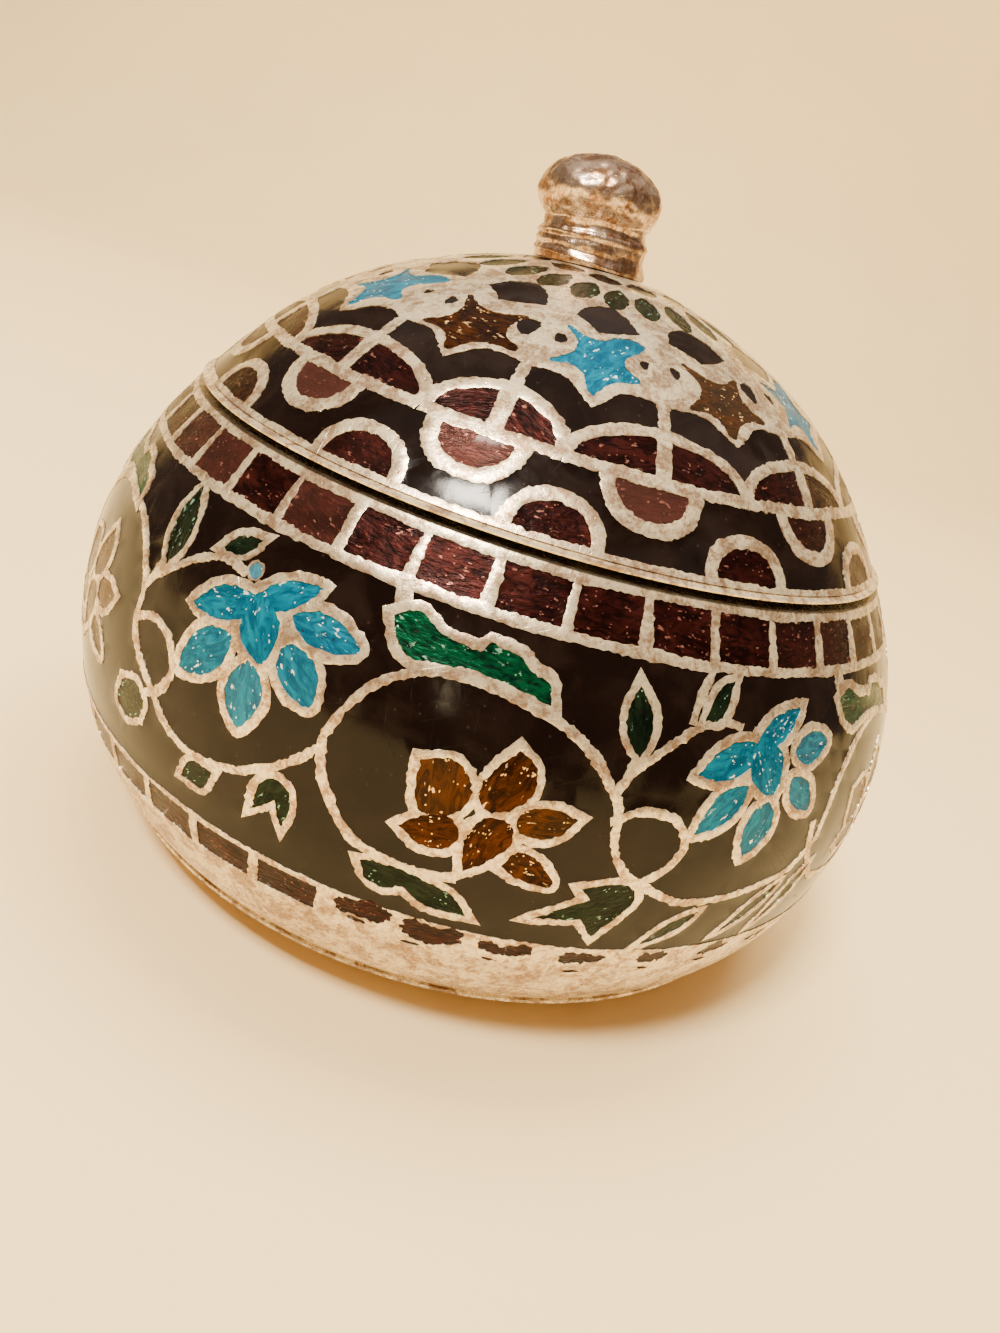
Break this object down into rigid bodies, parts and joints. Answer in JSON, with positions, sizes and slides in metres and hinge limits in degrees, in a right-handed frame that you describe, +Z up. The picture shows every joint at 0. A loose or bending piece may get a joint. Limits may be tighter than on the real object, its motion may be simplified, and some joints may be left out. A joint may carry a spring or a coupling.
{
  "type": "trinket box",
  "caption": "Small round silver box with an enamelled bowl, a lift-off domed lid and a cast ball knob.",
  "frame": {"origin": "centre of the flat underside of the bowl", "axes": "+Z up along the turning axis of bowl and lid, towards the knob; +X to the right and -Y towards the viewer of the picture"},
  "size_m": [0.045, 0.045, 0.0379],
  "materials": {
    "silver": "satin, warm silver with a hammered grain, worn at the edges",
    "cast_silver": "rough cast silver, polished on top, tarnished in the hollows",
    "black_enamel": "glossy fired glass",
    "maroon_enamel": "glossy translucent glass over engraved silver",
    "turquoise_enamel": "glossy translucent glass over engraved silver",
    "amber_enamel": "glossy translucent glass over engraved silver",
    "green_enamel": "glossy translucent glass over engraved silver"
  },
  "bodies": {
    "root": {"bowl": "silver", "lid": "silver", "knob": "cast_silver"}
  },
  "joints": []
}
